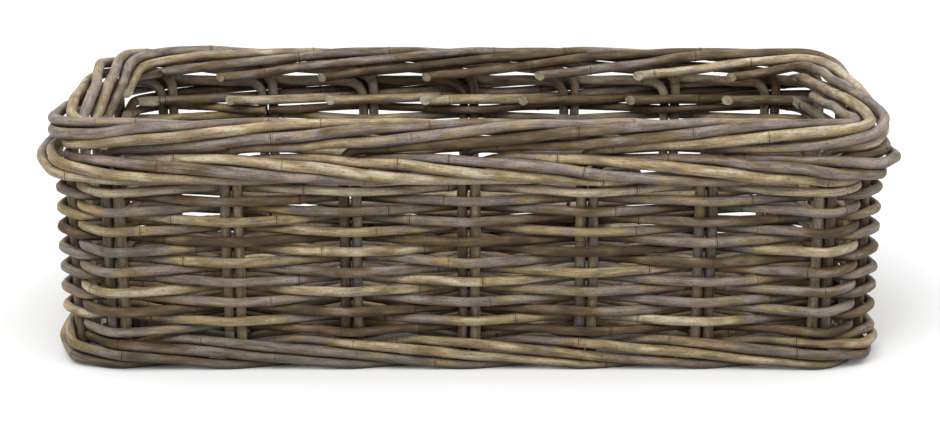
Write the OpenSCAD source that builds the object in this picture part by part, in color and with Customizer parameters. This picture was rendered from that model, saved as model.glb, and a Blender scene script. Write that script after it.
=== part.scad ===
// Rectangular open basket of thick round rattan: pairs of upright stakes, plain woven rows,
// a four-rod foot, a woven base, and a border made of the stakes themselves laid down in turn.
// Origin on the floor under the middle. Length along X, front towards -Y, up is +Z.

/* [Basket] */
// Length between the stake lines of the two ends (mm)
basket_length = 670; // [520:5:860]
// Depth between the stake lines of the front and the back (mm)
basket_depth = 302; // [240:2:420]
// Radius of the stake line round each corner (mm)
corner_radius = 40; // [36:1:56]

/* [Stakes] */
// Diameter of one stake (mm)
stake_d = 9; // [7.5:0.1:10.5]
// Free space between the two stakes of a pair (mm)
stake_gap = 1.2; // [0.8:0.1:4]
// Pairs of stakes along each long wall
long_pairs = 7; // [5:1:9]
// Pairs of stakes along each short wall
short_pairs = 3; // [3:1:5]
// Height of the stakes' lower ends above the floor (mm)
stake_foot = 2; // [1:0.5:6]

/* [Rows] */
// Diameter of one weaver (mm)
weaver_d = 8.2; // [6.5:0.1:9.5]
// Number of woven rows between the foot and the border
weaver_rows = 15; // [8:1:18]
// Free height between one row and the next where they cross (mm)
row_gap = 0.3; // [0.25:0.05:2]

/* [Foot] */
// Diameter of one rod of the foot (mm)
foot_d = 8.6; // [7:0.1:10]
// Free space between the rods of the foot (mm)
foot_gap = 0.6; // [0.5:0.1:2]
// Depth of the flat worn under the lowest rods (mm)
foot_wear = 0.4; // [0.2:0.05:0.5]

/* [Border] */
// Free space between neighbouring rods of the border (mm)
border_gap = 0.8; // [0.7:0.1:2]
// How much further out the border bulges at the two ends than along the sides (mm)
end_bulge = 8; // [0:0.5:16]
// How much further out it swings round each corner (mm)
corner_swing = 3; // [2:0.5:8]
// Length of rod on each side of a bend of the border (mm)
border_bend = 14; // [8:0.5:16]

/* [Base] */
// Diameter of one cross stick of the base (mm)
stick_d = 8; // [6.5:0.1:10]
// Diameter of one weaver of the base (mm)
base_weaver_d = 8.2; // [6.5:0.1:9.5]
// Free space between the weavers of the base (mm)
base_gap = 0.6; // [0.5:0.1:3]

/* [Fit] */
// Clearance between a rod and the stake or stick it is laid against (mm)
clearance = 0.3; // [0.2:0.05:0.6]
// How much thicker a rod is where it bends (mm)
swell = 0.2; // [0.15:0.05:0.4]
// Length of rod on each side of a bend in the rows, the foot and the base (mm)
weave_bend = 10; // [7:0.5:12]

/* [Hidden] */
pairs = 2 * (long_pairs + short_pairs);
half_x = basket_length / 2;
half_y = basket_depth / 2;
flat_x = half_x - corner_radius;
flat_y = half_y - corner_radius;
half_pair = (stake_d + stake_gap) / 2;

foot_step = foot_d + swell + foot_gap;
foot_z = foot_d / 2 + foot_step - foot_wear;
stick_lift = 2.4;
stick_z = foot_z + foot_d / 2 + stick_d / 2 + stick_lift;
row_step = weaver_d + swell + row_gap;
row_over_foot = foot_z + foot_step + (foot_d + weaver_d) / 2 + swell + clearance;
row_over_sticks = stick_z + (stick_d + weaver_d) / 2 + swell + clearance;
first_row_z = max(row_over_foot, row_over_sticks);
last_row_z = first_row_z + (weaver_rows - 1) * row_step;
border_step = stake_d + swell + border_gap;
border_z = last_row_z + (weaver_d + stake_d) / 2 + swell + clearance;

max_bend_radius = 400;
least_bend = 0.5;
lap = 1;
end_space = 3.2;
round_fn = 24;
bend_fn = 96;

// The two stakes of a pair take different ways through the border. Each way is a list of
// [out from the stake line, up from the border's foot] in border steps, every half pair.
upper_way = [[0, 2.48], [0.52, 2.86], [0.9, 3.22], [1.03, 3.72], [0.85, 4.23], [0.43, 4.55],
  [-0.09, 4.6], [-0.6, 4.41], [-1, 4.03], [-1.32, 3.53], [-1.55, 2.98], [-1.75, 2.38]];
lower_way = [[0, 1.58], [0.48, 1.76], [1, 1.75], [1.44, 1.46], [1.64, 0.94], [1.49, 0.43],
  [0.97, 0.1], [0, 0], [-0.98, 0.04], [-1.5, 0.13]];
lower_hug_out = 6;
lower_hug_in = 8;
border_reach = 1.64;

stake_names = concat(
  [for (i = [1 : long_pairs]) str("stakes_front_", i)],
  [for (i = [1 : short_pairs]) str("stakes_right_", i)],
  [for (i = [1 : long_pairs]) str("stakes_back_", i)],
  [for (i = [1 : short_pairs]) str("stakes_left_", i)]);
row_names = [for (i = [1 : weaver_rows]) str("row_", i)];
foot_names = [for (i = [1 : 4]) str("foot_rod_", i)];

function unit(v) = v / norm(v);
function within(c) = max(-1, min(1, c));
function angle_between(a, b) = acos(within(a * b));
function along(m) = [-m[1], m[0]];

// Plan of the stake line

function spot(i, count, flat) = -flat + 2 * flat * i / (count - 1);

// Middle of pair k and the direction that points out of the basket there.
function pair_at(k) =
  let (j = k % pairs, side = long_pairs + short_pairs)
  j < long_pairs ? [[spot(j, long_pairs, flat_x), -half_y], [0, -1]]
  : j < side ? [[half_x, spot(j - long_pairs, short_pairs, flat_y)], [1, 0]]
  : j < side + long_pairs ? [[-spot(j - side, long_pairs, flat_x), half_y], [0, 1]]
  : [[-half_x, -spot(j - side - long_pairs, short_pairs, flat_y)], [-1, 0]];

function turns_after(k) = pair_at(k)[1] != pair_at(k + 1)[1];
function beside_corner(k) = turns_after(k) || turns_after(k + pairs - 1);
function is_end(k) = pair_at(k)[1][0] != 0;

// Point at u pairs round the basket and n outside the stake line.
function plan(u, n) =
  let (k = floor(u + 0.01), f = u - k, p = pair_at(k)[0], m = pair_at(k)[1])
  f < 0.01 ? p + m * n
  : turns_after(k) ? p - m * corner_radius + (m * cos(90 * f) + along(m) * sin(90 * f)) * (corner_radius + n)
  : p + (pair_at(k + 1)[0] - p) * f + m * n;

// Laying a rod round the stakes

// A way is a list of [u, n, z, hug]: hug is 1 to lie against the outside of the pair, -1 against
// its inside, and 0 to pass at n. The bend takes room in a corner, so the rod swings out there.
function in_corner(u) = u - floor(u) > 0.3 && turns_after(floor(u));
function start_point(v, hold, reach) =
  v[3] != 0 ? pair_at(round(v[0]))[0] + pair_at(round(v[0]))[1] * v[3] * hold
  : plan(v[0], v[1] + (in_corner(v[0]) ? reach * tan(11.25) : 0));

function bend_reach(a, b, bend, reach) =
  min(reach, 0.45 * norm(a), 0.45 * norm(b), max_bend_radius * tan(bend / 2));

// Moves a hugging point so that the bend through it clears both stakes by the same small gap.
function hugged(pts, way, i, hold, reach) =
  let (here = pair_at(round(way[i][0])), out = here[1] * way[i][3],
    a = pts[i] - pts[i - 1], b = pts[i + 1] - pts[i], d0 = unit(a), d1 = unit(b),
    bend = angle_between(d0, d1), away = d0 - d1)
  bend > 4 && away * out > 0.3 * norm(away)
  ? let (dir = unit(away), skew = angle_between(dir, out),
      radius = bend_reach(a, b, bend, reach) / tan(bend / 2),
      seat = sqrt(max(0, pow(radius - hold, 2) - pow(half_pair * cos(skew), 2))) - half_pair * sin(skew))
    here[0] + dir * (radius / cos(bend / 2) - seat)
  : let (tilt = asin(min(1, abs(unit(d0 + d1) * here[1]))))
    here[0] + out * (hold / cos(tilt) + half_pair * tan(tilt) + clearance / 2);

function settled(pts, way, hold, reach, rounds = 4) =
  rounds == 0 ? pts
  : settled([for (i = [0 : len(pts) - 1])
      way[i][3] == 0 || i == 0 || i == len(pts) - 1 ? pts[i] : hugged(pts, way, i, hold, reach)],
    way, hold, reach, rounds - 1);

function laid(way, d, reach) =
  let (hold = (stake_d + d) / 2 + swell + clearance,
    flat = settled([for (v = way) start_point(v, hold, reach)], way, hold, reach))
  [for (i = [0 : len(way) - 1]) [flat[i][0], flat[i][1], way[i][2]]];

// A rod that goes once round starts and ends inside one pair, an end on each stake of it.
function ring(way, d, reach, k) =
  let (pts = laid(way, d, reach), last = len(pts) - 1, p = pair_at(k)[0], m = pair_at(k)[1],
    hold = (stake_d + d) / 2 + swell + clearance,
    lean = half_pair * 2.5 * hold / norm(pair_at(k + 1)[0] - p),
    mid = p - m * (hold + lean), gap = along(m) * end_space / 2)
  [for (i = [0 : last])
    i == 0 ? [mid[0] + gap[0], mid[1] + gap[1], way[0][2]]
    : i == last ? [mid[0] - gap[0], mid[1] - gap[1], way[last][2]]
    : pts[i]];

// A rod along bent lines

module stand(o, w) {
  side = abs(w[2]) > 0.9 ? [1, 0, 0] : [0, 0, 1];
  u = unit(cross(side, w));
  frame(o, u, w) children();
}

module frame(o, u, w) {
  v = cross(w, u);
  multmatrix([[u[0], v[0], w[0], o[0]], [u[1], v[1], w[1], o[1]], [u[2], v[2], w[2], o[2]], [0, 0, 0, 1]])
    children();
}

function bend_at(p, i) =
  i == 0 || i == len(p) - 1 ? 0 : angle_between(unit(p[i] - p[i - 1]), unit(p[i + 1] - p[i]));
function bent_only(p) = [for (i = [0 : len(p) - 1]) if (i == 0 || i == len(p) - 1 || bend_at(p, i) > least_bend) p[i]];

// Straight runs joined by round bends, which are slightly thicker and overlap the runs a little.
module rod(points, d, reach) {
  p = bent_only(points);
  n = len(p);
  bends = [for (i = [0 : n - 1]) bend_at(p, i)];
  cut = [for (i = [0 : n - 1]) bends[i] == 0 ? 0 : bend_reach(p[i] - p[i - 1], p[i + 1] - p[i], bends[i], reach)];
  for (i = [0 : n - 2]) {
    w = unit(p[i + 1] - p[i]);
    from = i == 0 ? 0 : cut[i] - lap;
    to = norm(p[i + 1] - p[i]) - (i == n - 2 ? 0 : cut[i + 1] - lap);
    stand(p[i] + w * from, w) cylinder(d = d, h = to - from, $fn = round_fn);
  }
  for (i = [1 : n - 2]) {
    w = unit(p[i] - p[i - 1]);
    axis = unit(cross(w, unit(p[i + 1] - p[i])));
    inward = cross(axis, w);
    radius = cut[i] / tan(bends[i] / 2);
    frame(p[i] - w * cut[i] + inward * radius, -inward, axis)
      rotate_extrude(angle = bends[i], $fn = bend_fn) translate([radius, 0]) circle(d = d + swell, $fn = round_fn);
  }
}

// Woven rows

// Rows begin at different pairs, away from the corners and always where the row is inside.
function row_start(row) =
  let (away = floor(row / 2) % 2 == 0 ? 0 : long_pairs + short_pairs, i = 1 + (row * 2) % (long_pairs - 2))
  (i + away + row) % 2 == 1 ? i + away : i < long_pairs - 2 ? i + 1 + away : i - 1 + away;

function row_way(row, k0, z) = [for (k = [k0 : k0 + pairs], half = [0, 0.5])
  if (half == 0 || (turns_after(k) && k < k0 + pairs)) [k + half, 0, z, half > 0 ? 0 : (k + row) % 2 == 0 ? 1 : -1]];

module woven_row(row) {
  k0 = row_start(row);
  z = first_row_z + row * row_step;
  color(row % 2 == 0 ? "#8d8171" : "#7c7263")
    rod(ring(row_way(row, k0, z), weaver_d, weave_bend, k0), weaver_d, weave_bend);
}

// Foot: four rods, each over three pairs outside and then behind one

function foot_height(turn) = turn == 1 ? 1 : turn == 3 ? -1 : 0;
function foot_passing(k) = (beside_corner(k) ? 1.75 : 1.25) * foot_step;

function foot_station(k, turn) =
  [k, foot_passing(k), foot_z + foot_height(turn) * foot_step, turn == 0 ? -1 : turn == 2 ? 0 : 1];
function foot_between(k, turn) =
  turn == 0 ? [k + 0.5, 0, foot_z + foot_step, 0]
  : turn == 3 ? [k + 0.5, 0, foot_z - foot_step, 0]
  : [k + 0.5, 1.6 * foot_step, foot_z + (turn == 1 ? 0.5 : -0.5) * foot_step, 0];

function foot_way(j) =
  let (k0 = 4 - j)
  [for (k = [k0 : k0 + pairs], half = [0, 1])
    let (turn = (k + j) % 4)
    if (half == 0 || (k < k0 + pairs && (turn == 0 || turn == 3 || turns_after(k))))
      half == 0 ? foot_station(k, turn) : foot_between(k, turn)];

module foot_rod(j) {
  color("#6f6557")
    difference() {
      rod(ring(foot_way(j), foot_d, weave_bend, 4 - j), foot_d, weave_bend);
      translate([-basket_length, -basket_depth, -2 * foot_d])
        cube([2 * basket_length, 2 * basket_depth, 2 * foot_d]);
    }
}

// Stakes and border

function end_share(u) =
  let (k = floor(u + 0.01), f = u - k, here = is_end(k) ? 1 : 0, next = is_end(k + 1) ? 1 : 0)
  here + (next - here) * f;
function corner_share(u) =
  let (k = floor(u + 0.01), half = u - k > 0.3)
  half ? (turns_after(k) ? 1 : turns_after(k + 1) || turns_after(k + pairs - 1) ? 0.5 : 0)
  : beside_corner(k) ? 1 : 0;

function swung(u, n) =
  n <= 2 ? n : n * (1 + end_share(u) * end_bulge / (border_reach * border_step)) + corner_swing * corner_share(u);

function border_way(k, way, hug_out, hug_in) = concat([[k, 0, 0, 0]],
  [for (i = [1 : len(way) - 1])
    let (u = k + i / 2)
    [u, swung(u, way[i][0] * border_step), border_z + way[i][1] * border_step,
      i == hug_out ? 1 : i == hug_in ? -1 : 0]]);

function stake_line(k, side, way, hug_out, hug_in) =
  let (foot = pair_at(k)[0] + along(pair_at(k)[1]) * side * half_pair,
    over = laid(border_way(k, way, hug_out, hug_in), stake_d, border_bend))
  concat([[foot[0], foot[1], stake_foot], [foot[0], foot[1], border_z + way[0][1] * border_step]],
    [for (i = [1 : len(over) - 1]) over[i]]);

// The rod's end is cut on a slant that faces into the basket.
module trimmed_stake(k, side, way, hug_out = -1, hug_in = -1) {
  p = stake_line(k, side, way, hug_out, hug_in);
  last = len(p) - 1;
  inward = -pair_at(k + round(len(way) / 2))[1];
  slant = unit(unit(p[last] - p[last - 1]) * 0.7 + [inward[0], inward[1], 0] * 0.7);
  difference() {
    rod(p, stake_d, border_bend);
    stand(p[last] - slant * stake_d / 4, slant)
      translate([-2 * stake_d, -2 * stake_d, 0]) cube([4 * stake_d, 4 * stake_d, 2 * stake_d]);
  }
}

module stake_pair(k) {
  color(k % 2 == 0 ? "#877b6a" : "#786e60") {
    trimmed_stake(k, -1, upper_way);
    trimmed_stake(k, 1, lower_way, lower_hug_out, lower_hug_in);
  }
}

// Base

base_inset = stake_d / 2 + foot_d + 3 * clearance + 1.7;
base_edge = half_y - base_inset - base_weaver_d / 2 - 3;
base_count = floor(2 * base_edge / (base_weaver_d + swell + base_gap)) + 1;
base_hold = (stick_d + base_weaver_d) / 2 + swell + clearance;

module base_sticks() {
  reach = half_y - stake_d / 2 - clearance;
  color("#6a6153")
    for (i = [0 : long_pairs - 1], side = [-1, 1])
      translate([spot(i, long_pairs, flat_x) + side * half_pair, reach, stick_z])
        rotate([90, 0, 0]) cylinder(d = stick_d, h = 2 * reach, $fn = round_fn);
}

function base_end(y) =
  let (over = max(0, abs(y) + base_weaver_d / 2 - flat_y))
  flat_x + sqrt(max(0, pow(corner_radius - base_inset, 2) - over * over));

function base_line(j) =
  let (y = spot(j, base_count, base_edge), x_end = base_end(y), last = long_pairs - 1)
  concat([[-x_end, y, stick_z + (j % 2 == 0 ? 1 : -1) * base_hold * 1.05]],
    [for (i = [0 : last]) [spot(i, long_pairs, flat_x), y, stick_z + ((i + j) % 2 == 0 ? 1 : -1) * (base_hold + 1.3)]],
    [[x_end, y, stick_z + ((last + j) % 2 == 0 ? 1 : -1) * base_hold * 1.05]]);

module base_weavers(first) {
  color(first == 0 ? "#80756a" : "#746a5c")
    for (j = [first : 2 : base_count - 1])
      rod(base_line(j), base_weaver_d, weave_bend);
}

// The basket

for (k = [0 : pairs - 1])
  stake_pair(k);
for (row = [0 : weaver_rows - 1])
  woven_row(row);
for (j = [0 : 3])
  foot_rod(j);
base_sticks();
base_weavers(0);  // base_weavers_odd
base_weavers(1);  // base_weavers_even
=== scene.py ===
# %% [markdown]
# A rectangular basket of weathered rattan, woven round pairs of stakes. The CAD part is its fixed frame and
# says where every rod lies. Its rods are perfect bars, though, and real rattan has knots, streaks and grey
# patches. A material alone could give the bars some of that, but the knots would stay flat, and nothing would
# tell the material how far along the rod it is. So each CAD node is replaced by rods that are laid the same
# way and carry these details. The frame comes first.

# %% Load the frame
import math
import random
import bpy
import numpy as np
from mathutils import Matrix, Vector


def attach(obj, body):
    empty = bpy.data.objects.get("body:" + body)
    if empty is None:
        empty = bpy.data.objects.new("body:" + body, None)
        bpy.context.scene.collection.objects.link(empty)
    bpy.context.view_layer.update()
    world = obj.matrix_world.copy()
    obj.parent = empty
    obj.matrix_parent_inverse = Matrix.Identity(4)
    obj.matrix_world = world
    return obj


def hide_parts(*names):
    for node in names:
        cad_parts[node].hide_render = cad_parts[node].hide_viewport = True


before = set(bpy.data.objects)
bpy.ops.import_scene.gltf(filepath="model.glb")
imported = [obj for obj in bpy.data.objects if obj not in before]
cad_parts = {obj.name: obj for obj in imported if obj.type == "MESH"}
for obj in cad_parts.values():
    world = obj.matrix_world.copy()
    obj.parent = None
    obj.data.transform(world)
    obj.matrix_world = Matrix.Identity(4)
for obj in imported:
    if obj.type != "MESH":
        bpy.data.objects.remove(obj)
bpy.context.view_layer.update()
print("CAD nodes:", len(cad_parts))

# %% [markdown]
# These are the sizes of the CAD part, in millimetres, so that the rods are laid round the same stakes again.
# The places could also be measured on the CAD meshes, but the rules that laid the bars are shorter. The
# heights follow from the sizes in the order of the work: foot, base, rows, border.

# %% Sizes of the basket and its rods
LENGTH, DEPTH, CORNER = 670.0, 302.0, 40.0
LONG_PAIRS, SHORT_PAIRS, ROWS, FOOT_RODS = 7, 3, 15, 4
STAKE_D, STAKE_GAP, WEAVER_D, FOOT_D = 9.0, 1.2, 8.2, 8.6
STICK_D, BASE_D, CLEARANCE, SWELL = 8.0, 8.2, 0.3, 0.2
FOOT_GAP, FOOT_WEAR, STICK_LIFT, BORDER_GAP, BASE_GAP = 0.6, 0.4, 2.4, 0.8, 0.6
STAKE_FOOT = 2.0
WEAVE_BEND, BORDER_BEND = 10.0, 14.0
END_BULGE, CORNER_SWING, END_SPACE = 8.0, 3.0, 3.2
PAIRS = 2 * (LONG_PAIRS + SHORT_PAIRS)
HALF_X, HALF_Y = LENGTH / 2, DEPTH / 2
FLAT_X, FLAT_Y = HALF_X - CORNER, HALF_Y - CORNER
HALF_PAIR = (STAKE_D + STAKE_GAP) / 2
print("pairs of stakes:", PAIRS)

# %% Heights above the floor
FOOT_STEP = FOOT_D + SWELL + FOOT_GAP
FOOT_Z = FOOT_D / 2 + FOOT_STEP - FOOT_WEAR
STICK_Z = FOOT_Z + FOOT_D / 2 + STICK_D / 2 + STICK_LIFT
ROW_STEP = WEAVER_D + SWELL + CLEARANCE
OVER_FOOT = FOOT_Z + FOOT_STEP + (FOOT_D + WEAVER_D) / 2
OVER_STICKS = STICK_Z + (STICK_D + WEAVER_D) / 2
FIRST_ROW_Z = max(OVER_FOOT, OVER_STICKS) + (SWELL + CLEARANCE)
LAST_ROW_Z = FIRST_ROW_Z + (ROWS - 1) * ROW_STEP
BORDER_STEP = STAKE_D + SWELL + BORDER_GAP
BORDER_Z = LAST_ROW_Z + (WEAVER_D + STAKE_D) / 2 + SWELL + CLEARANCE
print("first row at", round(FIRST_ROW_Z, 1), "mm, border from", round(BORDER_Z, 1), "mm")

# %% [markdown]
# A rod is described by stations round the basket. A station has u, which counts pairs of stakes from the
# front left corner, n, the distance outside the line of the stakes, and a height. The places could be typed
# one by one, but counted in pairs the same few rules serve every wall and corner. To turn a station into a
# place, only the middle of each pair and the direction out of the basket there are needed.

# %% The line of the stakes
def spot(i, count, flat):
    return -flat + 2 * flat * i / (count - 1)


def pair_at(k):
    """Middle of pair k, and the direction out of the basket."""
    j = k % PAIRS
    side = LONG_PAIRS + SHORT_PAIRS
    if j < LONG_PAIRS:
        return np.array([spot(j, LONG_PAIRS, FLAT_X), -HALF_Y]), np.array([0.0, -1.0])
    if j < side:
        return np.array([HALF_X, spot(j - LONG_PAIRS, SHORT_PAIRS, FLAT_Y)]), np.array([1.0, 0.0])
    if j < side + LONG_PAIRS:
        return np.array([-spot(j - side, LONG_PAIRS, FLAT_X), HALF_Y]), np.array([0.0, 1.0])
    return np.array([-HALF_X, -spot(j - side - LONG_PAIRS, SHORT_PAIRS, FLAT_Y)]), np.array([-1.0, 0.0])


def along(m):
    return np.array([-m[1], m[0]])


def turns_after(k):
    return not np.allclose(pair_at(k)[1], pair_at(k + 1)[1])


def beside_corner(k):
    return turns_after(k) or turns_after(k - 1)


print("first pair at", pair_at(0)[0], "mm")

# %% A station in plan
NEARLY = 0.01           # a station this close to a pair counts as at the pair


def plan(u, n):
    """Point at u pairs round the basket and n mm outside the stakes."""
    k = math.floor(u + NEARLY)
    f = u - k
    p, m = pair_at(k)
    if f < NEARLY:
        return p + m * n
    if turns_after(k):
        turn = math.radians(90 * f)
        return p - m * CORNER + (m * math.cos(turn) + along(m) * math.sin(turn)) * (CORNER + n)
    return p + (pair_at(k + 1)[0] - p) * f + m * n


def unit(v):
    return v / np.linalg.norm(v)


def angle(a, b):
    return math.acos(max(-1.0, min(1.0, float(a @ b))))


print("middle of the first corner", plan(LONG_PAIRS - 0.5, 0).round(1), "mm")

# %% [markdown]
# A station also says whether the rod hugs the outside of its pair (1), the inside (-1) or neither (0). The
# rod could be led through one point beside the pair, but its bend would then cut into the two stakes. How far
# off it has to stay depends on how sharply it bends, and so on where its neighbours are. So all the points
# are worked out a few times over, each time from the last result.

# %% Laying a rod round the stakes
LONGEST_CUT = 0.45      # share of a straight run that one bend may take
LEAST_TURN = 4.0        # degrees, below which a rod counts as straight
FACING = 0.3            # least cosine between the outer side of a bend and the side that is hugged
SETTLING_ROUNDS = 4
HALF_WAY = 0.3          # share of a step, past which a station is between two pairs
CORNER_EASE = math.tan(math.radians(45 / 4))    # an arc over 45 degrees stays this share of its reach inside


def hold_of(d):
    return (STAKE_D + d) / 2 + SWELL + CLEARANCE


def cut_of(a, b, reach):
    return min(reach, LONGEST_CUT * np.linalg.norm(a), LONGEST_CUT * np.linalg.norm(b))


def hugged(pts, way, i, hold, reach):
    """Place of station i, moved so that the bend there clears the two stakes."""
    if way[i][3] == 0 or i in (0, len(pts) - 1):
        return pts[i]
    here, m = pair_at(round(way[i][0]))
    out = m * way[i][3]
    a, b = pts[i] - pts[i - 1], pts[i + 1] - pts[i]
    bend = angle(unit(a), unit(b))
    away = unit(a) - unit(b)
    if math.degrees(bend) > LEAST_TURN and away @ out > FACING * np.linalg.norm(away):
        toward = unit(away)
        skew = angle(toward, out)
        radius = cut_of(a, b, reach) / math.tan(bend / 2)
        seat = math.sqrt(max(0, (radius - hold) ** 2 - (HALF_PAIR * math.cos(skew)) ** 2))
        seat -= HALF_PAIR * math.sin(skew)
        return here + toward * (radius / math.cos(bend / 2) - seat)
    tilt = math.asin(min(1, abs(float(unit(unit(a) + unit(b)) @ m))))
    return here + out * (hold / math.cos(tilt) + HALF_PAIR * math.tan(tilt) + CLEARANCE / 2)


print("a weaver's middle passes", round(hold_of(WEAVER_D), 2), "mm from the stakes' middle")

# %% All the stations of a rod
def laid(way, d, reach):
    """Places of the stations of a rod, settled against the stakes."""
    hold = hold_of(d)
    pts = []
    for u, n, _, hug in way:
        if hug:
            p, m = pair_at(round(u))
            pts.append(p + m * hug * hold)
        else:
            in_corner = u - math.floor(u) > HALF_WAY and turns_after(math.floor(u))
            pts.append(plan(u, n + (reach * CORNER_EASE if in_corner else 0)))
    for _ in range(SETTLING_ROUNDS):
        pts = [hugged(pts, way, i, hold, reach) for i in range(len(pts))]
    return [np.array([p[0], p[1], w[2]]) for p, w in zip(pts, way)]


print("rounds of settling:", SETTLING_ROUNDS)

# %% [markdown]
# A rod that goes once round the basket has to start and end somewhere. Its ends could meet between two pairs,
# but on the inside of a pair the stakes hide them from outside, and a weaver would leave them there too. They
# stand a little further in than the rest of the rod, because it arrives there at a slant.

# %% A rod once round the basket
END_LEAN = 2.5          # how much further in the ends stand, as a factor on the rod's slant


def ring(way, d, k):
    pts = laid(way, d, WEAVE_BEND)
    p, m = pair_at(k)
    lean = HALF_PAIR * END_LEAN * hold_of(d) / np.linalg.norm(pair_at(k + 1)[0] - p)
    mid = p - m * (hold_of(d) + lean)
    gap = along(m) * END_SPACE / 2
    pts[0] = np.array([*(mid + gap), way[0][2]])
    pts[-1] = np.array([*(mid - gap), way[-1][2]])
    return pts


print("the ends of a row are", END_SPACE, "mm apart")

# %% [markdown]
# Straight runs joined by arcs are exact but look stiff, and real rattan springs back after it is bent. A
# Bezier curve would look soft too, but it would leave the places that the CAD part gives. So the line is
# sampled every millimetre, and each sample becomes a mean over 9 mm, which moves it by 0.14 mm at the most.

# %% From corner points to arcs
LEAST_BEND = 0.01       # radians, below which no arc is drawn
ARC_STEPS = 6


def bent_line(points, reach):
    out = [points[0]]
    for i in range(1, len(points) - 1):
        a, b = points[i] - points[i - 1], points[i + 1] - points[i]
        d0, d1 = unit(a), unit(b)
        bend = angle(d0, d1)
        if bend < LEAST_BEND:
            out.append(points[i])
            continue
        cut = cut_of(a, b, reach)
        radius = cut / math.tan(bend / 2)
        inward = unit(np.cross(unit(np.cross(d0, d1)), d0))
        centre = points[i] - d0 * cut + inward * radius
        for step in range(ARC_STEPS + 1):
            t = bend * step / ARC_STEPS
            out.append(centre - inward * radius * math.cos(t) + d0 * radius * math.sin(t))
    out.append(points[-1])
    return np.array(out)


print("steps of an arc:", ARC_STEPS)

# %% From arcs to a soft line
BLUR = 4                # samples on each side that the mean takes in
FEWEST_SAMPLES = 8


def soft_line(points, reach):
    c = bent_line(points, reach)
    s = np.concatenate([[0], np.cumsum(np.linalg.norm(np.diff(c, axis=0), axis=1))])
    even = np.linspace(0, s[-1], max(FEWEST_SAMPLES, int(s[-1])))
    line = np.stack([np.interp(even, s, c[:, j]) for j in range(3)], 1)
    weights = np.exp(-np.linspace(-2, 2, 2 * BLUR + 1) ** 2)
    weights /= weights.sum()
    ends = np.vstack([np.repeat(line[:1], BLUR, 0), line, np.repeat(line[-1:], BLUR, 0)])
    soft = np.stack([np.convolve(ends[:, j], weights, "valid") for j in range(3)], 1)
    soft[:BLUR + 1], soft[-BLUR - 1:] = line[:BLUR + 1], line[-BLUR - 1:]
    return soft


print("samples in a mean:", 2 * BLUR + 1)

# %% [markdown]
# Rattan is the stem of a climbing palm. It has a knot where each leaf grew, here every 80 to 240 mm, and it
# is never quite straight or equally thick. A curve with a round bevel would give much the same tube. Here a
# rod is written as rings of points instead, closer together at the knots, which rise a little. That way every
# point can keep three values for the material: its place along and across the rod in mm, the rod's tone
# there, and the distance to the nearest knot. And the last ring can be cut at a slant.

# %% Knots and wavering
FIRST_KNOT, NEXT_KNOT, END_MARGIN = (15, 110), (80, 240), 6
WAVER_STEP, WAVER_BLUR = 34.0, 15
SIDEWAYS, UPWARDS = 0.35, 1.0       # shares of the wavering in plan and in height


def knots_of(length, rng):
    s, out = rng.uniform(*FIRST_KNOT), []
    while s < length - END_MARGIN:
        out.append(s)
        s += rng.uniform(*NEXT_KNOT)
    return out


def wavered(line, s_line, rng, amount):
    """The line pushed by up to amount mm in height and less in plan, and hardly at all at its ends."""
    steps = np.arange(0, s_line[-1] + WAVER_STEP, WAVER_STEP)
    push = []
    for part in (SIDEWAYS, SIDEWAYS, UPWARDS):
        push.append(np.interp(s_line, steps, [rng.uniform(-1, 1) * part * amount for _ in steps]))
    ease = np.clip(np.minimum(s_line, s_line[-1] - s_line) / WAVER_STEP, 0, 1)
    width = 2 * WAVER_BLUR + 1
    kernel = np.hanning(width) / np.hanning(width).sum()
    wide = [np.convolve(np.pad(v * ease, WAVER_BLUR, mode="edge"), kernel, "valid") for v in push]
    return line + np.stack(wide, 1)


print("knots are", NEXT_KNOT[0], "to", NEXT_KNOT[1], "mm apart")

# %% Rings along a rod
RING_STEP = 7.0
KNOT_RINGS = (-5, -2.2, -1.1, -0.4, 0, 0.4, 1.1, 2.2, 5)    # mm from a knot
KNOT_RISE, KNOT_WIDTH, FAR_FROM_KNOT = 0.34, 1.9, 60.0
THICKNESS, KNOT_STRENGTH = (0.96, 1.05), (0.45, 1.1)
DENTS, DENT_COUNT = (-0.09, 0.02), 12


def ring_places(length, knots):
    places = set(np.round(np.linspace(0, length, int(length / RING_STEP) + 2), 2))
    for k in knots:
        places |= {round(k + o, 2) for o in KNOT_RINGS if 0 < k + o < length}
    return np.array(sorted(places))


def thickness(s, length, d, knots, rng):
    """Radius of the rod at each ring, and the ring's distance to the nearest knot."""
    d *= rng.uniform(*THICKNESS)
    near = np.full(len(s), FAR_FROM_KNOT)
    for k in knots:
        near = np.minimum(near, np.abs(s - k) / rng.uniform(*KNOT_STRENGTH))
    dents = [rng.uniform(*DENTS) for _ in range(DENT_COUNT)]
    radius = d / 2 + np.interp(s, np.linspace(0, length, DENT_COUNT), dents)
    return radius + KNOT_RISE * np.exp(-(near / KNOT_WIDTH) ** 2), near


print("rings every", RING_STEP, "mm, and", len(KNOT_RINGS), "at a knot")

# %% [markdown]
# Each ring could be turned by the shortest way from straight up, but then it would flip where the rod bends
# over. So one direction to the side is carried along the rod and squared to it at each ring, and neither the
# rings nor the pattern twist. A trimmed rod ends in a slanting cut: its last ring is slid along the rod onto
# the slant.

# %% Points of the rings
SIDES = 14
UPRIGHT = 0.9           # above this height share of its direction a rod counts as upright


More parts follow.
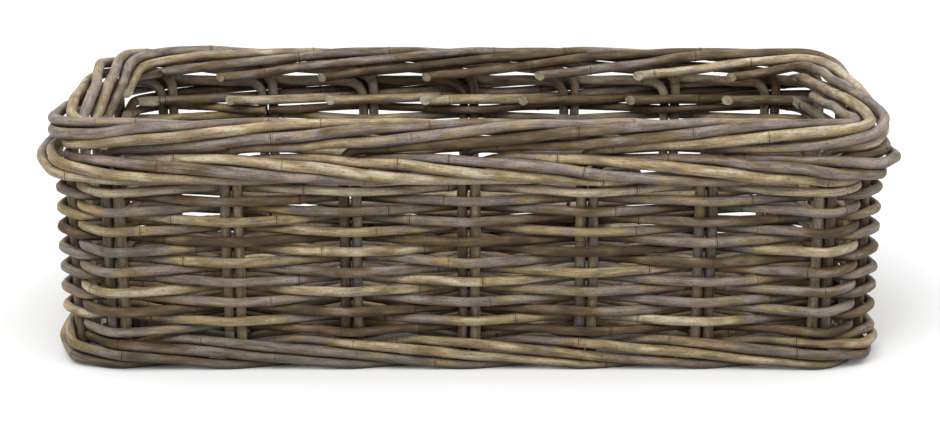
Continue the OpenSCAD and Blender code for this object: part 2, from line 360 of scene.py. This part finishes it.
def rings_round(p, t, radius):
    """Points round the rod at each ring, and their places across the rod."""
    turn = np.linspace(0, 2 * math.pi, SIDES, endpoint=False)
    side = np.cross(t[0], [0, 0, 1]) if abs(t[0][2]) < UPRIGHT else np.cross(t[0], [1, 0, 0])
    points, across = [], []
    for i in range(len(p)):
        side = unit(side - t[i] * (side @ t[i]))
        up = np.cross(t[i], side)
        around = np.cos(turn)[:, None] * side + np.sin(turn)[:, None] * up
        points.append(p[i] + radius[i] * around)
        across.append((radius[i] * np.cos(turn), radius[i] * np.sin(turn)))
    return points, across


print("sides of a rod:", SIDES)

# %% The tube of a rod
PATTERN_SPREAD = 90000  # mm in which a rod's pattern may start, so that no two rods look alike
made = {"rods": 0, "metres": 0.0}


def tube(line, d, rng, tones, slant=None, waver=0.0):
    """Points, places on the rod, tones and knot distances of one rod, and its number of rings."""
    s_line = np.concatenate([[0], np.cumsum(np.linalg.norm(np.diff(line, axis=0), axis=1))])
    length = s_line[-1]
    line = wavered(line, s_line, rng, waver)
    knots = knots_of(length, rng)
    s = ring_places(length, knots)
    radius, near = thickness(s, length, d, knots, rng)
    offset = rng.uniform(0, PATTERN_SPREAD)
    p = np.stack([np.interp(s, s_line, line[:, j]) for j in range(3)], 1)
    t = np.gradient(p, s, axis=0)
    t /= np.linalg.norm(t, axis=1)[:, None]
    points, across = rings_round(p, t, radius)
    if slant is not None:
        slide = ((p[-1] - points[-1]) @ slant) / (t[-1] @ slant)
        points[-1] = points[-1] + t[-1] * slide[:, None]
    rod = [np.stack([np.full(SIDES, place + offset), *pair], 1) for place, pair in zip(s, across)]
    tone = np.repeat(np.interp(s / length, np.linspace(0, 1, len(tones)), tones), SIDES)
    made["rods"] += 1
    made["metres"] += length / 1000
    return np.vstack(points), np.vstack(rod), tone, np.repeat(near, SIDES), len(s)


print("rods so far:", made["rods"])

# %% [markdown]
# A piece stands for one CAD node, so it can hold several rods, such as the two stakes of a pair or all the
# sticks of the base. The rods could be made one by one and joined, but writing them as one mesh is quicker.
# The sides of a rod are shaded smooth and take the first material. Its two flat ends take the second, because
# a cut shows the pale wood under the skin.

# %% Faces of a tube
def tube_faces(start, rings):
    """Sides of the tube whose points begin at start, and then its two ends."""
    faces = []
    for i in range(rings - 1):
        for j in range(SIDES):
            a, b = start + i * SIDES + j, start + i * SIDES + (j + 1) % SIDES
            faces.append((a, b, b + SIDES, a + SIDES))
    last = start + (rings - 1) * SIDES
    return faces + [tuple(range(start + SIDES - 1, start - 1, -1)), tuple(range(last, last + SIDES))]


print("faces between two rings:", len(tube_faces(0, 2)) - 2)

# %% A piece out of tubes
MM_TO_A_METRE = 1000


def add_piece(name, node, tubes, materials):
    faces, at_end, start = [], [], 0
    for points, _, _, _, rings in tubes:
        more = tube_faces(start, rings)
        faces += more
        at_end += [False] * (len(more) - 2) + [True, True]
        start += len(points)
    points, rod, tone, near = (np.concatenate(part) for part in list(zip(*tubes))[:4])
    mesh = bpy.data.meshes.new(name)
    mesh.from_pydata((points / MM_TO_A_METRE).tolist(), [], faces)
    for m in materials:
        mesh.materials.append(m)
    mesh.polygons.foreach_set("material_index", [int(end) for end in at_end])
    mesh.polygons.foreach_set("use_smooth", [not end for end in at_end])
    mesh.attributes.new("rod", "FLOAT_VECTOR", "POINT").data.foreach_set("vector", rod.ravel())
    mesh.attributes.new("tone", "FLOAT", "POINT").data.foreach_set("value", tone)
    mesh.attributes.new("knot", "FLOAT", "POINT").data.foreach_set("value", near)
    mesh.update()
    piece = bpy.data.objects.new(name, mesh)
    bpy.context.scene.collection.objects.link(piece)
    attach(piece, "root")
    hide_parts(node)
    return piece


# %% [markdown]
# A material is a tree of nodes. It could be built by hand, where each node takes the same steps: add it, set
# it and connect it. One helper does that for any node, and fills the stops of a colour ramp. Another turns a
# colour from hex, as on a screen, into the linear values that Blender works with. A grey is a plain
# brightness, such as the factor by which a mask darkens what is under it.

# %% Colour and node helpers
def colour(hex_text):
    parts = [int(hex_text[i:i + 2], 16) / 255 for i in (1, 3, 5)]
    return (*[c / 12.92 if c <= 0.04045 else ((c + 0.055) / 1.055) ** 2.4 for c in parts], 1.0)


def grey(v):
    return (v, v, v, 1.0)


def add(tree, kind, links=(), stops=(), **settings):
    node = tree.nodes.new(kind)
    for key, value in settings.items():
        setattr(node, key, value)
    elements = node.color_ramp.elements if stops else ()
    while len(elements) < len(stops):
        elements.new(0.5)
    for element, (place, tint) in zip(elements, stops):
        element.position, element.color = place, tint
    for socket, source in dict(links).items():
        target = node.inputs[socket]
        if hasattr(source, "is_linked"):
            tree.links.new(source, target)
        else:
            target.default_value = source
    return node


print("mid grey in linear light:", round(colour("#808080")[0], 3))

# %% [markdown]
# The rods are round rattan cane, dried and left outdoors: a pale tan wood full of long pores, with a skin
# that turns brown and purple-grey and comes off in places. To the eye that gives fine streaks along the rod,
# dark specks where a pore caught dirt, pale flecks where the skin is off, patches, dark scars, and at each
# knot a dark line and a pale collar. A picture could be wrapped round the rods, but patterns that are read
# in each rod's own millimetres follow every bend without a seam. Real pores are 0.3 to 0.4 mm wide. They are
# drawn twice as wide, because finer ones would be lost in the render.

# %% Patterns of the skin
# each is a texture, its output, how many repeats a mm has along and across the rod, and settings
NOISE, CELLS = "ShaderNodeTexNoise", "ShaderNodeTexVoronoi"
PATTERNS = {
    "patches": (NOISE, "Fac", 0.035, 0.16, {"Detail": 4.0}),                    # 29 mm by 6 mm
    "streaks": (NOISE, "Fac", 0.03, 1.5, {"Detail": 6.0, "Roughness": 0.65}),   # 33 mm by 0.7 mm
    "specks": (CELLS, "Distance", 0.22, 0.75, {}),                              # 4.5 mm by 1.3 mm
    "flecks": (CELLS, "Distance", 0.3, 1.1, {"Randomness": 1.0}),               # 3.3 mm by 0.9 mm
    "stains": (NOISE, "Fac", 0.05, 0.2, {"Detail": 3.0}),                       # 20 mm by 5 mm
    "scars": (NOISE, "Fac", 0.06, 0.35, {"Detail": 5.0, "Roughness": 0.7}),     # 17 mm by 3 mm
}
print("patterns:", ", ".join(PATTERNS))

# %% Masks over the skin
# each is a strength and then, for values of its pattern, the brightness or tint that the skin is given there
MASKS = {
    "streaks": (1.0, [(0.33, grey(0.50)), (0.5, grey(0.93)), (0.68, grey(1.16))]),
    "specks": (0.75, [(0.14, grey(0.25)), (0.3, grey(1.0))]),
    "flecks": (0.7, [(0.12, grey(1.7)), (0.26, grey(1.0))]),
    "stains": (1.0, [(0.38, grey(0.72)), (0.5, grey(1.0)), (0.62, grey(1.22))]),
    "scars": (0.8, [(0.30, colour("#817365")), (0.36, grey(1.0))]),
    "knots": (1.0, [(0.02, colour("#897c6f")), (0.07, grey(1.0)), (0.13, grey(1.25)),
                    (0.19, grey(0.55)), (0.24, grey(1.2)), (0.6, grey(1.0))]),
    # painted shade: the skin is darkened in the gaps where other rods are near
    "shade_in_gaps": (1.0, [(0.15, grey(0.22)), (0.75, grey(1.0))]),
}
print("masks:", ", ".join(MASKS))

# %% [markdown]
# The patches and the rod's tone together pick a place on a row of hex colours, and then each mask darkens or
# lightens what it covers. The last mask is painted shade: the ambient occlusion node darkens the skin where
# rods lie close together, as shade falls there. The skin is a dull satin, so its roughness lies between 0.42
# and 0.72, and its index of refraction is 1.45, as for plant wax. The pores could be cut into the mesh, but
# that would take millions of faces, so a bump node draws them.

# %% Reading the patterns on a rod
KNOT_SCALE = 0.1        # the mask of a knot reaches 10 mm
# how far, in m, the painted shade between rods looks for other rods, and with how many samples
SHADE_REACH, SHADE_SAMPLES = 0.014, 6     # m


def patterns_in(tree):
    rod = add(tree, "ShaderNodeAttribute", attribute_name="rod").outputs["Vector"]
    knot = add(tree, "ShaderNodeAttribute", attribute_name="knot").outputs["Fac"]
    found = {}
    for what, (kind, out, lengthways, across, settings) in PATTERNS.items():
        scales = (lengthways, across, across)
        place = add(tree, "ShaderNodeVectorMath", {0: rod, 1: scales}, operation="MULTIPLY").outputs[0]
        found[what] = add(tree, kind, {"Vector": place, "Scale": 1.0, **settings}).outputs[out]
    near = add(tree, "ShaderNodeMath", {0: knot, 1: KNOT_SCALE}, operation="MULTIPLY")
    # painted shade: ambient occlusion darkens the skin where rods lie close together
    gap_shade = add(tree, "ShaderNodeAmbientOcclusion", {"Distance": SHADE_REACH}, samples=SHADE_SAMPLES)
    found["knots"], found["shade_in_gaps"] = near.outputs[0], gap_shade.outputs["AO"]
    return found


print("dirt is looked for within", SHADE_REACH, "m")

# %% The colour of the skin
FIRST_STOP, STOP_SPAN = 0.3, 0.4


def skin_colour(tree, found, hexes):
    tone = add(tree, "ShaderNodeAttribute", attribute_name="tone").outputs["Fac"]
    both = add(tree, "ShaderNodeMath", {0: found["patches"], 1: tone}, operation="ADD").outputs[0]
    half = add(tree, "ShaderNodeMath", {0: both, 1: 0.5}, operation="MULTIPLY").outputs[0]
    stops = [(FIRST_STOP + STOP_SPAN * i / (len(hexes) - 1), colour(h)) for i, h in enumerate(hexes)]
    skin = add(tree, "ShaderNodeValToRGB", {"Fac": half}, stops).outputs["Color"]
    for what, (strength, steps) in MASKS.items():
        mask = add(tree, "ShaderNodeValToRGB", {"Fac": found[what]}, steps).outputs["Color"]
        skin = add(tree, "ShaderNodeMix", {0: strength, 6: skin, 7: mask},
                   data_type="RGBA", blend_type="MULTIPLY").outputs[2]
    return skin


print("colours lie between", FIRST_STOP, "and", round(FIRST_STOP + STOP_SPAN, 1))

# %% The rattan
SATIN = {"To Min": 0.42, "To Max": 0.72}
WAX = {"IOR": 1.45, "Specular IOR Level": 0.35}
PORE_DEPTH = {"Strength": 0.55, "Distance": 0.0005}     # m
SPECK_DEPTH = {"Strength": 0.3, "Distance": 0.0003}     # m


def rattan(name, hexes):
    mat = bpy.data.materials.new(name)
    mat.use_nodes = True
    tree = mat.node_tree
    tree.nodes.clear()
    found = patterns_in(tree)
    skin = skin_colour(tree, found, hexes)
    rough = add(tree, "ShaderNodeMapRange", {"Value": found["patches"], **SATIN}).outputs[0]
    pores = add(tree, "ShaderNodeBump", {"Height": found["streaks"], **PORE_DEPTH}).outputs[0]
    relief = add(tree, "ShaderNodeBump",
                 {"Height": found["specks"], "Normal": pores, **SPECK_DEPTH}).outputs[0]
    shader = add(tree, "ShaderNodeBsdfPrincipled",
                 {"Base Color": skin, "Roughness": rough, "Normal": relief, **WAX})
    add(tree, "ShaderNodeOutputMaterial", {"Surface": shader.outputs[0]})
    return mat


print("roughness from", SATIN["To Min"], "to", SATIN["To Max"])

# %% [markdown]
# One material could serve all the rods, but they have weathered differently. Each row of colours goes from
# brown to pale tan, and in the first three the middle colour is the purple-grey of weathered skin.

# %% Four rattans
# weavers: brown, purple-grey and tan in turn, so that the rows stand apart
weaver_mat = rattan("weathered_rattan_weavers", ["#4a3a25", "#705c3e", "#877d76", "#9a8359", "#c0b095"])
# stakes and border: the same and a little paler
stake_mat = rattan("weathered_rattan_stakes", ["#52432c", "#786448", "#8f8580", "#a28a63", "#c6b79c"])
# foot and base: the darkest of the four
foot_mat = rattan("weathered_rattan_foot", ["#443623", "#68563c", "#7d736b", "#8c7650", "#b0a081"])
# cut ends: the cream-coloured wood under the skin
end_mat = rattan("cut_rattan_ends", ["#a89a7f", "#b9ab90", "#c9bda5", "#d3c8b2", "#ddd3bf"])
print("materials:", [m.name for m in (weaver_mat, stake_mat, foot_mat, end_mat)])

# %% [markdown]
# Each row passes outside one pair and inside the next, and the row above does the opposite. A weaver pieces a
# row together from several rods. Here it is one rod that changes its tone now and then, which looks much the
# same and leaves only one place where ends meet. The rows could be drawn by hand as curves, but a loop keeps
# the rule of the weave in one place.

# %% Where a row starts, and its tones
NEW_ROD = 0.3           # chance that another length of rattan begins
FIRST_TONE, NEXT_TONE, TONE_DRIFT = (0.1, 0.9), (0.1, 0.95), (-0.06, 0.06)


def row_start(row):
    away = 0 if (row // 2) % 2 == 0 else LONG_PAIRS + SHORT_PAIRS
    i = 1 + (row * 2) % (LONG_PAIRS - 2)
    if (i + away + row) % 2 == 1:
        return i + away
    return i + 1 + away if i < LONG_PAIRS - 2 else i - 1 + away


def some_tones(rng, count):
    tones, level = [], rng.uniform(*FIRST_TONE)
    for _ in range(count):
        if rng.random() < NEW_ROD:
            level = rng.uniform(*NEXT_TONE)
        tones.append(level + rng.uniform(*TONE_DRIFT))
    return tones


print("rows start at pairs", [row_start(row) for row in range(ROWS)])

# %% Weave the rows
ROW_SEED, RING_TONES, RING_WAVER = 100, 22, 0.9


def row_way(row, z):
    k0, way = row_start(row), []
    for k in range(k0, k0 + PAIRS + 1):
        way.append((k, 0, z, 1 if (k + row) % 2 == 0 else -1))
        if turns_after(k) and k < k0 + PAIRS:
            way.append((k + 0.5, 0, z, 0))
    return way


for row in range(ROWS):
    rng = random.Random(ROW_SEED + row)
    way = row_way(row, FIRST_ROW_Z + row * ROW_STEP)
    line = soft_line(ring(way, WEAVER_D, row_start(row)), WEAVE_BEND)
    rod = tube(line, WEAVER_D, rng, some_tones(rng, RING_TONES), waver=RING_WAVER)
    add_piece(f"woven_row_{row + 1}", f"row_{row + 1}", [rod], [weaver_mat, end_mat])
print("rows:", ROWS)

# %% [markdown]
# The foot is a twist of four rods round the stakes. Each passes outside three pairs, first high, then in the
# middle, then low, and goes behind the fourth, and the next rod does the same one pair earlier. One twisted
# cord would be simpler, but it would lie in front of the stakes and hold none of them. Where the rods stand
# on the floor, their undersides are flat, as if worn.

# %% The way of a foot rod
FOOT_LIFT = {1: 1, 3: -1}       # steps up at the pairs of a turn, and 0 at the others
FOOT_HUG = {0: -1, 2: 0}        # inside or free, and outside at the others
AT_CORNER, AT_SIDE, ROUND_CORNER = 1.75, 1.25, 1.6      # steps outside the stakes


def foot_way(j):
    k0, way = FOOT_RODS - j, []
    for k in range(k0, k0 + PAIRS + 1):
        turn = (k + j) % FOOT_RODS
        out = (AT_CORNER if beside_corner(k) else AT_SIDE) * FOOT_STEP
        way.append((k, out, FOOT_Z + FOOT_LIFT.get(turn, 0) * FOOT_STEP, FOOT_HUG.get(turn, 1)))
        if k == k0 + PAIRS:
            break
        if turn in (0, 3):
            way.append((k + 0.5, 0, FOOT_Z + (1 if turn == 0 else -1) * FOOT_STEP, 0))
        elif turns_after(k):
            lift = 0.5 if turn == 1 else -0.5
            way.append((k + 0.5, ROUND_CORNER * FOOT_STEP, FOOT_Z + lift * FOOT_STEP, 0))
    return way


print("stations of a foot rod:", len(foot_way(0)))

# %% Twist the foot
FOOT_SEED = 200
for j in range(FOOT_RODS):
    rng = random.Random(FOOT_SEED + j)
    line = soft_line(ring(foot_way(j), FOOT_D, FOOT_RODS - j), WEAVE_BEND)
    rod = tube(line, FOOT_D, rng, some_tones(rng, RING_TONES), waver=RING_WAVER)
    rod[0][:, 2] = np.maximum(rod[0][:, 2], 0.0)
    add_piece(f"foot_wale_{j + 1}", f"foot_rod_{j + 1}", [rod], [foot_mat, end_mat])
print("foot rods:", FOOT_RODS)

# %% [markdown]
# The stakes come in pairs. Above the rows each one is laid down to the right, over and under its neighbours,
# and that makes the border. One rod of a pair takes the upper way, over the rim and down inside, and the
# other the lower way, down in front of its neighbours and in under the rim. Each rod could be bent by hand,
# but all pairs do the same, each one place further on, so two lists are enough. They give, for every half
# pair, the distance out of the stakes and the height above the border's foot, in border steps.

# %% The two ways through the border
UPPER_WAY = [[0, 2.48], [.52, 2.86], [.9, 3.22], [1.03, 3.72], [.85, 4.23], [.43, 4.55], [-.09, 4.6],
             [-.6, 4.41], [-1, 4.03], [-1.32, 3.53], [-1.55, 2.98], [-1.75, 2.38]]
LOWER_WAY = [[0, 1.58], [.48, 1.76], [1, 1.75], [1.44, 1.46], [1.64, .94], [1.49, .43], [.97, .1],
             [0, 0], [-.98, .04], [-1.5, .13]]
UPPER_HUGS, LOWER_HUGS = (-1, -1), (6, 8)   # place in the way that hugs outside, and inside, or -1 for none
BORDER_REACH = 1.64                         # the furthest out that a way goes, in border steps
print("places in the two ways:", len(UPPER_WAY), len(LOWER_WAY))

# %% [markdown]
# One list would make the border equally wide all round. On the basket it bulges further out at the two ends
# and swings wide at the corners, where so thick a rod can't be bent sharply. So a place outside the stakes is
# moved further out by its share of an end and of a corner.

# %% The bulge of the border
OUTSIDE = 2.0           # mm outside the stakes, past which a place is moved


def is_end(k):
    return pair_at(k)[1][0] != 0


def end_share(u):
    k = math.floor(u + NEARLY)
    return is_end(k) + (int(is_end(k + 1)) - int(is_end(k))) * (u - k)


def corner_share(u):
    k = math.floor(u + NEARLY)
    if u - k > HALF_WAY:
        return 1 if turns_after(k) else 0.5 if turns_after(k + 1) or turns_after(k - 1) else 0
    return 1 if beside_corner(k) else 0


def swung(u, n):
    if n <= OUTSIDE:
        return n
    return n * (1 + end_share(u) * END_BULGE / (BORDER_REACH * BORDER_STEP)) + CORNER_SWING * corner_share(u)


print("10 mm out becomes", round(swung(LONG_PAIRS, 10), 1), "mm at the first pair of an end")

# %% [markdown]
# The rods end inside the basket, where a maker trims them. A square cut would be simpler, but the real ones
# slant and face the middle. So the cut faces half way between the rod's own direction and the direction into
# the basket, and the end is drawn back a little to leave room for it.

# %% One rod of a pair
DRAWN_BACK = 1 / 3      # share of the rod's thickness


def border_rod(k, side, way, hug_out, hug_in):
    """The soft line of a stake and its end in the border, and the direction that its cut faces."""
    stations = [(k, 0, 0, 0)]
    for i in range(1, len(way)):
        u = k + i / 2
        hug = 1 if i == hug_out else -1 if i == hug_in else 0
        stations.append((u, swung(u, way[i][0] * BORDER_STEP), BORDER_Z + way[i][1] * BORDER_STEP, hug))
    over = laid(stations, STAKE_D, BORDER_BEND)[1:]
    p, m = pair_at(k)
    foot = p + along(m) * side * HALF_PAIR
    pts = [np.array([*foot, STAKE_FOOT]), np.array([*foot, BORDER_Z + way[0][1] * BORDER_STEP])] + over
    ahead = unit(pts[-1] - pts[-2])
    inward = -pair_at(k + round(len(way) / 2))[1]
    pts[-1] = pts[-1] - ahead * STAKE_D * DRAWN_BACK
    return soft_line(pts, BORDER_BEND), unit(ahead + np.array([*inward, 0]))


print("the border rises to", round(BORDER_Z + max(z for _, z in UPPER_WAY) * BORDER_STEP, 1), "mm")

# %% [markdown]
# The rods of the border are the thickest and waver most, as they are bent by hand at the very end. They could
# all be cut at one line, but on the basket each ends where it was trimmed, so every rod loses up to 16 mm by
# chance.

# %% Set up the stakes and lay the border
STAKE_SEED, STAKE_TONES, STAKE_WAVER, STAKE_SWELL, TRIM = 300, 5, 1.5, 1.03, 16
walls = [("front", LONG_PAIRS), ("right", SHORT_PAIRS), ("back", LONG_PAIRS), ("left", SHORT_PAIRS)]
names = [f"{wall}_{i + 1}" for wall, count in walls for i in range(count)]
for k, name in enumerate(names):
    rng = random.Random(STAKE_SEED + k)
    pair = []
    for side, way, hugs in ((-1, UPPER_WAY, UPPER_HUGS), (1, LOWER_WAY, LOWER_HUGS)):
        line, slant = border_rod(k, side, way, *hugs)
        line = line[:len(line) - rng.randint(0, TRIM)]
        tones = some_tones(rng, STAKE_TONES)
        pair.append(tube(line, STAKE_D * STAKE_SWELL, rng, tones, slant, STAKE_WAVER))
    add_piece(f"stake_pair_{name}", f"stakes_{name}", pair, [stake_mat, end_mat])
print("stake pairs:", len(names))

# %% [markdown]
# The photograph doesn't show the base, so it is a plain one. Two sticks run across between each front pair
# and its back pair, and rods are woven over and under them along the basket. A flat sheet would do for this
# view, but the basket is also looked at from above and below.

# %% Sticks across the base
BASE_SEED, STICK_TONES = 400, 3
reach_y = HALF_Y - STAKE_D / 2 - CLEARANCE
rng = random.Random(BASE_SEED)
sticks = []
for i in range(LONG_PAIRS):
    for side in (-1, 1):
        x = spot(i, LONG_PAIRS, FLAT_X) + side * HALF_PAIR
        line = soft_line([np.array([x, -reach_y, STICK_Z]), np.array([x, reach_y, STICK_Z])], WEAVE_BEND)
        sticks.append(tube(line, STICK_D, rng, some_tones(rng, STICK_TONES)))
add_piece("base_cross_sticks", "base_sticks", sticks, [foot_mat, end_mat])
print("sticks:", len(sticks))

# %% The way of a base rod
INSET_EXTRA, EDGE_MARGIN = 1.7, 3       # mm kept free towards the foot and the long walls
OVER_STICK, END_RISE = 1.3, 1.05        # mm added over a stick, and factor on the rise at the ends
inset = STAKE_D / 2 + FOOT_D + 3 * CLEARANCE + INSET_EXTRA
base_edge = HALF_Y - inset - BASE_D / 2 - EDGE_MARGIN
base_count = int(2 * base_edge / (BASE_D + SWELL + BASE_GAP)) + 1
base_hold = (STICK_D + BASE_D) / 2 + SWELL + CLEARANCE


def base_way(j):
    y = spot(j, base_count, base_edge)
    over = max(0, abs(y) + BASE_D / 2 - FLAT_Y)
    x_end = FLAT_X + math.sqrt(max(0, (CORNER - inset) ** 2 - over * over))
    ups = [1 if (i + j) % 2 == 0 else -1 for i in range(LONG_PAIRS)]
    pts = [np.array([-x_end, y, STICK_Z + ups[0] * base_hold * END_RISE])]
    for i, up in enumerate(ups):
        pts.append(np.array([spot(i, LONG_PAIRS, FLAT_X), y, STICK_Z + up * (base_hold + OVER_STICK)]))
    return pts + [np.array([x_end, y, STICK_Z + ups[-1] * base_hold * END_RISE])]


print("rods along the base:", base_count)

# %% Weave the base
BASE_TONES = 7
weavers = {0: [], 1: []}
for j in range(base_count):
    rod = tube(soft_line(base_way(j), WEAVE_BEND), BASE_D, rng, some_tones(rng, BASE_TONES))
    weavers[j % 2].append(rod)
add_piece("base_rods_odd", "base_weavers_odd", weavers[0], [foot_mat, end_mat])
add_piece("base_rods_even", "base_weavers_even", weavers[1], [foot_mat, end_mat])
print("rods in all:", made["rods"], "with a length of", round(made["metres"], 1), "m")

# %% [markdown]
# The picture has a white background. It could come from strong light, but that would wash out the rods. So
# the floor and the sky are nearly white only where the camera or a reflection looks. For the light that they
# give, the floor is a darker grey, and the sky is weak up to the horizon and grows strong overhead, which
# leaves the gaps between the rods dark.

# %% The floor
FLOOR_SIZE, FLOOR_GIVES, FLOOR_SEEN = 12, 0.45, "#f8f8f8"       # m, brightness, colour


def seen_rays(tree):
    """1 where the camera or a reflection looks, and 0 where light is gathered."""
    path = add(tree, "ShaderNodeLightPath").outputs
    shiny = add(tree, "ShaderNodeMath", {0: path["Is Glossy Ray"], 1: path["Is Transmission Ray"]},
                operation="MAXIMUM").outputs[0]
    return add(tree, "ShaderNodeMath", {0: path["Is Camera Ray"], 1: shiny}, operation="MAXIMUM").outputs[0]


bpy.ops.mesh.primitive_plane_add(size=FLOOR_SIZE)
floor = bpy.context.object
floor.name = "floor"
floor_mat = bpy.data.materials.new("pale_paper_floor")
floor_mat.use_nodes = True
tree = floor_mat.node_tree
tree.nodes.clear()
shades = [(0.0, grey(FLOOR_GIVES)), (1.0, colour(FLOOR_SEEN))]
shade = add(tree, "ShaderNodeValToRGB", {"Fac": seen_rays(tree)}, shades).outputs["Color"]
paper = add(tree, "ShaderNodeBsdfDiffuse", {"Color": shade}).outputs[0]
add(tree, "ShaderNodeOutputMaterial", {"Surface": paper})
floor.data.materials.append(floor_mat)
print("floor:", floor_mat.name)

# %% The sky
SKY_LOW, SKY_HIGH = 0.42, 1.35
world = bpy.data.worlds.new("white_sky")
bpy.context.scene.world = world
world.use_nodes = True
sky = world.node_tree
sky.nodes.clear()
toward = add(sky, "ShaderNodeTexCoord").outputs["Generated"]
height = add(sky, "ShaderNodeSeparateXYZ", {0: toward}).outputs[2]
power = add(sky, "ShaderNodeMapRange", {"Value": height, "To Min": SKY_LOW, "To Max": SKY_HIGH}).outputs[0]
lit = add(sky, "ShaderNodeBackground", {"Color": grey(1.0), "Strength": power}).outputs[0]
seen = add(sky, "ShaderNodeBackground", {"Color": grey(1.0), "Strength": 1.0}).outputs[0]
both = add(sky, "ShaderNodeMixShader", {0: seen_rays(sky), 1: lit, 2: seen}).outputs[0]
add(sky, "ShaderNodeOutputWorld", {"Surface": both})
print("the sky gives from", SKY_LOW, "to", SKY_HIGH)

# %% [markdown]
# Two large soft lamps stand above and in front, a strong one on the left that shapes the rods, and a weak one
# on the right that keeps their far sides readable. A sun would be simpler, but the shadows between the rods
# would be hard. Both lamps aim at the middle of the basket.

# %% Two soft lamps
AIM = Vector((0, 0, 0.1))


def soft_light(name, place, size, power):
    """A square lamp at a place in m, with its size in m and its power in W."""
    data = bpy.data.lights.new(name, "AREA")
    data.shape, data.size, data.energy = "SQUARE", size, power
    lamp = bpy.data.objects.new(name, data)
    bpy.context.scene.collection.objects.link(lamp)
    lamp.location = place
    lamp.rotation_euler = (AIM - lamp.location).to_track_quat("-Z", "Y").to_euler()
    return lamp


lamps = [soft_light("key", (-0.9, -1.6, 2.2), 1.4, 26), soft_light("fill", (1.6, -1.0, 1.5), 1.6, 9)]
print("lamps:", [lamp.name for lamp in lamps])

# %% [markdown]
# The camera stands 1.65 m in front of the basket's middle and looks 16 degrees down. A wider lens from closer
# by would show as much, but a long one gives the weak perspective of a catalogue picture. The view transform
# is Standard, so that a colour renders about as it is written.

# %% Camera
TILT = 73.85            # degrees up from looking straight down
camera = bpy.data.objects.new("camera", bpy.data.cameras.new("camera"))
bpy.context.scene.collection.objects.link(camera)
camera.location = (0.001, -1.650, 0.566)
camera.rotation_euler = (math.radians(TILT), 0, 0)
camera.data.lens, camera.data.sensor_width = 72, 36
camera.data.clip_start, camera.data.clip_end = 0.01, 50
bpy.context.scene.camera = camera
bpy.context.scene.view_settings.view_transform = "Standard"
print("camera at", tuple(round(v, 3) for v in camera.location))
